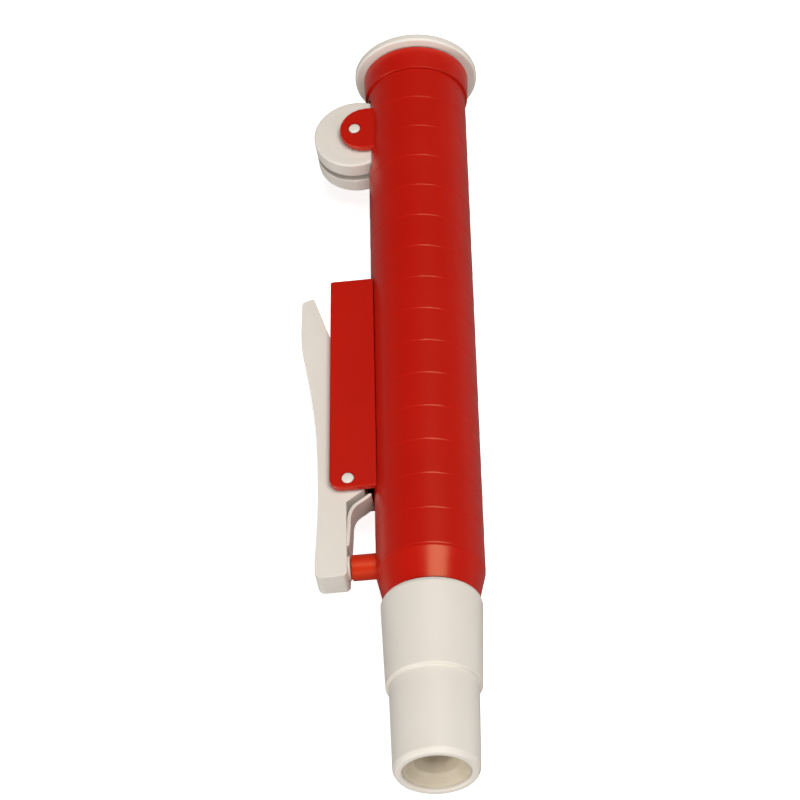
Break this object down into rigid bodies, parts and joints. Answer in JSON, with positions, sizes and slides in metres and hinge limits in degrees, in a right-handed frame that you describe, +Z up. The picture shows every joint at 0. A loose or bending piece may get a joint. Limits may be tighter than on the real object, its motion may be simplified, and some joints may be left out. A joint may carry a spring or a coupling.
{
  "type": "pipette pump",
  "caption": "Hand pump for filling a large pipette: ringed red barrel, thumb wheel that winds the plunger by a rack, sprung release lever over a vent, and a tapered white nose.",
  "frame": {"origin": "under the middle of the pump's box as it lies level, at the height of the thumb plate's lowest point", "axes": "+Y along the barrel from the nose to the thumb plate, -X towards the wheel and the lever, +Z up, along the wheel's and the lever's pins"},
  "size_m": [0.0448, 0.2048, 0.031],
  "materials": {
    "barrel_red": "satin",
    "vent_red": "satin",
    "white_plastic": "satin",
    "soft_liner": "matte",
    "seal_rubber": "matte",
    "silicone": "satin"
  },
  "bodies": {
    "barrel": {"barrel": "barrel_red", "end_cap": "barrel_red", "lever_housing": "barrel_red", "vent_nozzle": "vent_red", "nose": "white_plastic", "pipette_grip": "soft_liner", "nose_seal": "seal_rubber", "wheel_pin": "white_plastic", "lever_pin": "white_plastic"},
    "plunger": {"plunger_rod": "white_plastic", "thumb_plate": "white_plastic", "piston_head": "white_plastic", "piston_seal_front": "seal_rubber", "piston_seal_rear": "seal_rubber"},
    "wheel": {"drive_pinion": "white_plastic", "wheel_front_disc": "white_plastic", "wheel_rear_disc": "white_plastic"},
    "lever": {"lever": "white_plastic", "lever_spring": "white_plastic", "valve_pad": "silicone"}
  },
  "joints": [
    {"name": "plunger_slide", "type": "slide", "parent": "barrel", "child": "plunger", "axis": [0, 1, 0], "range_m": [0, 0.07]},
    {"name": "wheel_turn", "type": "hinge", "parent": "barrel", "child": "wheel", "pos_m": [-0.00829, 0.07995, 0.0155], "axis": [0, 0, 1], "range_deg": [0, 580]},
    {"name": "lever_press", "type": "hinge", "parent": "barrel", "child": "lever", "pos_m": [-0.01129, -0.0254, 0.0155], "axis": [0, 0, -1], "range_deg": [0, 6.5], "stiffness_Nm_per_rad": 0.6, "springref_deg": -5.73, "deforming": ["lever_spring"]}
  ],
  "couplings": [
    {"joint": "wheel_turn", "follows": "plunger_slide", "rad_per_m": 142.86}
  ]
}
